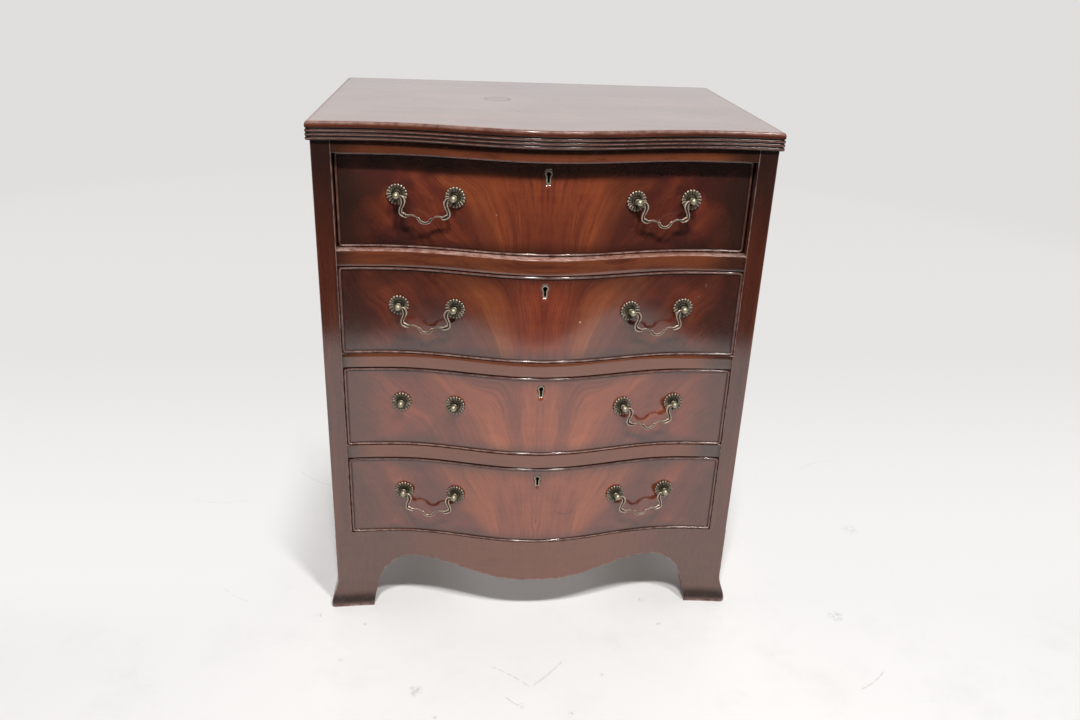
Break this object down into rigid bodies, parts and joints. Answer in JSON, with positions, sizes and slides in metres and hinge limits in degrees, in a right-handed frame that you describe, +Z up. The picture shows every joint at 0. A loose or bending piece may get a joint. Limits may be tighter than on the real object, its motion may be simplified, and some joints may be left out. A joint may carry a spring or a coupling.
{
  "type": "serpentine chest of drawers",
  "caption": "Small serpentine-front chest of drawers on swept bracket feet, with a reeded top, cock-beaded sliding drawers and swinging brass bail handles.",
  "frame": {"origin": "on the floor under the middle of the chest's overall box", "axes": "+X to the right of someone facing the front, front faces -Y, +Z up"},
  "size_m": [0.635, 0.4736, 0.758],
  "materials": {
    "show_wood": "polished red-brown mahogany with a worn waxed gloss",
    "front_veneer": "polished flame mahogany veneer, matched at the middle of each drawer",
    "lining_wood": "plain planed lining wood, unpolished",
    "carcase_wood": "plain secondary softwood, unpolished",
    "brass": "old cast brass, dark in the hollows and rubbed bright on the edges"
  },
  "bodies": {
    "case": {"top_board": "show_wood", "side_left": "show_wood", "side_right": "show_wood", "top_rail": "show_wood", "divider_1": "show_wood", "divider_2": "show_wood", "divider_3": "show_wood", "bottom_board": "carcase_wood", "back_panel": "carcase_wood", "base_front": "show_wood", "base_side_left": "show_wood", "base_side_right": "show_wood"},
    "drawer_1": {"drawer_1_front": "front_veneer", "drawer_1_escutcheon": "brass", "drawer_1_side_left": "lining_wood", "drawer_1_side_right": "lining_wood", "drawer_1_bottom": "lining_wood", "drawer_1_back": "lining_wood", "drawer_1_rosette_left_outer": "brass", "drawer_1_rosette_left_inner": "brass", "drawer_1_rosette_right_outer": "brass", "drawer_1_rosette_right_inner": "brass"},
    "bail_1_left": {"drawer_1_bail_left": "brass"},
    "bail_1_right": {"drawer_1_bail_right": "brass"},
    "drawer_2": {"drawer_2_front": "front_veneer", "drawer_2_escutcheon": "brass", "drawer_2_side_left": "lining_wood", "drawer_2_side_right": "lining_wood", "drawer_2_bottom": "lining_wood", "drawer_2_back": "lining_wood", "drawer_2_rosette_left_outer": "brass", "drawer_2_rosette_left_inner": "brass", "drawer_2_rosette_right_outer": "brass", "drawer_2_rosette_right_inner": "brass"},
    "bail_2_left": {"drawer_2_bail_left": "brass"},
    "bail_2_right": {"drawer_2_bail_right": "brass"},
    "drawer_3": {"drawer_3_front": "front_veneer", "drawer_3_escutcheon": "brass", "drawer_3_side_left": "lining_wood", "drawer_3_side_right": "lining_wood", "drawer_3_bottom": "lining_wood", "drawer_3_back": "lining_wood", "drawer_3_rosette_left_outer": "brass", "drawer_3_rosette_left_inner": "brass", "drawer_3_rosette_right_outer": "brass", "drawer_3_rosette_right_inner": "brass"},
    "bail_3_right": {"drawer_3_bail_right": "brass"},
    "drawer_4": {"drawer_4_front": "front_veneer", "drawer_4_escutcheon": "brass", "drawer_4_side_left": "lining_wood", "drawer_4_side_right": "lining_wood", "drawer_4_bottom": "lining_wood", "drawer_4_back": "lining_wood", "drawer_4_rosette_left_outer": "brass", "drawer_4_rosette_left_inner": "brass", "drawer_4_rosette_right_outer": "brass", "drawer_4_rosette_right_inner": "brass"},
    "bail_4_left": {"drawer_4_bail_left": "brass"},
    "bail_4_right": {"drawer_4_bail_right": "brass"}
  },
  "joints": [
    {"name": "drawer_1_slide", "type": "slide", "parent": "case", "child": "drawer_1", "axis": [0, -1, 0], "range_m": [0, 0.316]},
    {"name": "bail_1_left_swing", "type": "hinge", "parent": "drawer_1", "child": "bail_1_left", "pos_m": [-0.16154, -0.20122, 0.6619], "axis": [-0.9864, 0.1643, 0], "range_deg": [-16, 160]},
    {"name": "bail_1_right_swing", "type": "hinge", "parent": "drawer_1", "child": "bail_1_right", "pos_m": [0.16154, -0.20122, 0.6619], "axis": [-0.9864, -0.1643, 0], "range_deg": [-16, 160]},
    {"name": "drawer_2_slide", "type": "slide", "parent": "case", "child": "drawer_2", "axis": [0, -1, 0], "range_m": [0, 0.3]},
    {"name": "bail_2_left_swing", "type": "hinge", "parent": "drawer_2", "child": "bail_2_left", "pos_m": [-0.16154, -0.21722, 0.51115], "axis": [-0.9864, 0.1643, 0], "range_deg": [-16, 160]},
    {"name": "bail_2_right_swing", "type": "hinge", "parent": "drawer_2", "child": "bail_2_right", "pos_m": [0.16154, -0.21722, 0.51115], "axis": [-0.9864, -0.1643, 0], "range_deg": [-16, 160]},
    {"name": "drawer_3_slide", "type": "slide", "parent": "case", "child": "drawer_3", "axis": [0, -1, 0], "range_m": [0, 0.3]},
    {"name": "bail_3_right_swing", "type": "hinge", "parent": "drawer_3", "child": "bail_3_right", "pos_m": [0.16154, -0.21722, 0.36265], "axis": [-0.9864, -0.1643, 0], "range_deg": [-16, 160]},
    {"name": "drawer_4_slide", "type": "slide", "parent": "case", "child": "drawer_4", "axis": [0, -1, 0], "range_m": [0, 0.3]},
    {"name": "bail_4_left_swing", "type": "hinge", "parent": "drawer_4", "child": "bail_4_left", "pos_m": [-0.16154, -0.21722, 0.2129], "axis": [-0.9864, 0.1643, 0], "range_deg": [-16, 160]},
    {"name": "bail_4_right_swing", "type": "hinge", "parent": "drawer_4", "child": "bail_4_right", "pos_m": [0.16154, -0.21722, 0.2129], "axis": [-0.9864, -0.1643, 0], "range_deg": [-16, 160]}
  ]
}
